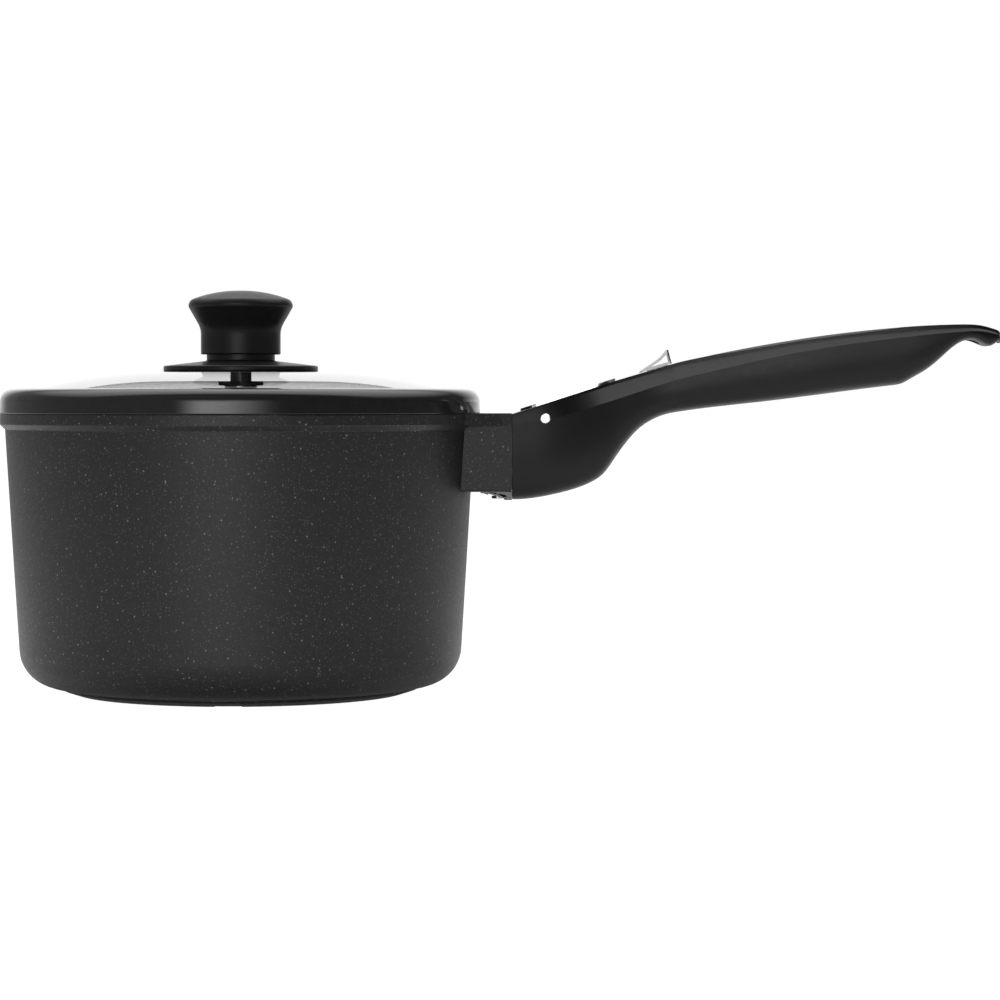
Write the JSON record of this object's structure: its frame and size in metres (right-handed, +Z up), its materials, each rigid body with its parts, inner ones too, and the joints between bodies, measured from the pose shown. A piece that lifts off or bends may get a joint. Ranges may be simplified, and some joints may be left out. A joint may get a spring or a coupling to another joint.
{
  "type": "saucepan with glass lid",
  "caption": "Cast saucepan with a domed glass lid, waisted knob and a latch-on handle with a sprung thumb slider and a hanging hole.",
  "frame": {"origin": "centre of the foot, on the surface that the pan stands on", "axes": "+Z up along the pan axis, +X along the handle, +Y to the left of the handle seen from the pan"},
  "size_m": [0.3985, 0.1912, 0.1605],
  "materials": {
    "pan_coating": "cast aluminium under a dark grey speckled non-stick coating, satin",
    "base_steel": "turned steel",
    "guard_steel": "satin stainless steel",
    "screw_steel": "plated steel",
    "handle_plastic": "fine matt black phenolic",
    "core_steel": "pressed steel",
    "pin_chrome": "polished",
    "trim_chrome": "polished",
    "trim_satin": "satin grey metal",
    "slider_satin": "satin chrome",
    "carriage_plastic": "acetal",
    "spring_steel": "spring wire",
    "lid_glass": "clear tempered glass",
    "ring_plastic": "glossy black",
    "knob_plastic": "satin black phenolic",
    "seal_rubber": "silicone rubber",
    "insert_brass": "turned brass"
  },
  "bodies": {
    "pan": {"pan_body": "pan_coating", "induction_plate": "base_steel", "flame_guard": "guard_steel", "guard_screw": "screw_steel", "handle_body": "handle_plastic", "handle_core": "core_steel", "core_screws": "screw_steel", "cross_pin": "pin_chrome", "front_trim": "trim_chrome", "grip_trim": "trim_satin", "latch_spring": "spring_steel"},
    "slider": {"release_slider": "slider_satin", "slider_carriage": "carriage_plastic", "slider_screw": "screw_steel"},
    "latch": {"latch_lever": "core_steel"},
    "lid": {"lid_glass": "lid_glass", "lid_ring": "ring_plastic", "knob_base": "knob_plastic", "base_gasket": "seal_rubber", "knob_grip": "knob_plastic", "knob_insert": "insert_brass", "glass_grommet": "seal_rubber", "screw_washer": "screw_steel", "knob_screw": "screw_steel"}
  },
  "joints": [
    {"name": "lid_lift", "type": "slide", "parent": "pan", "child": "lid", "axis": [0, 0, 1], "range_m": [0, 0.12]},
    {"name": "release_slide", "type": "slide", "parent": "pan", "child": "slider", "axis": [-0.9597, 0, -0.2812], "range_m": [0, 0.008], "stiffness_N_per_m": 300, "springref_m": -0.01},
    {"name": "latch_pivot", "type": "hinge", "parent": "pan", "child": "latch", "pos_m": [0.12137, 0, 0.1096], "axis": [0, -1, 0], "range_deg": [0, 7.2]}
  ],
  "couplings": [
    {"joint": "latch_pivot", "follows": "release_slide", "rad_per_m": 15.27}
  ]
}
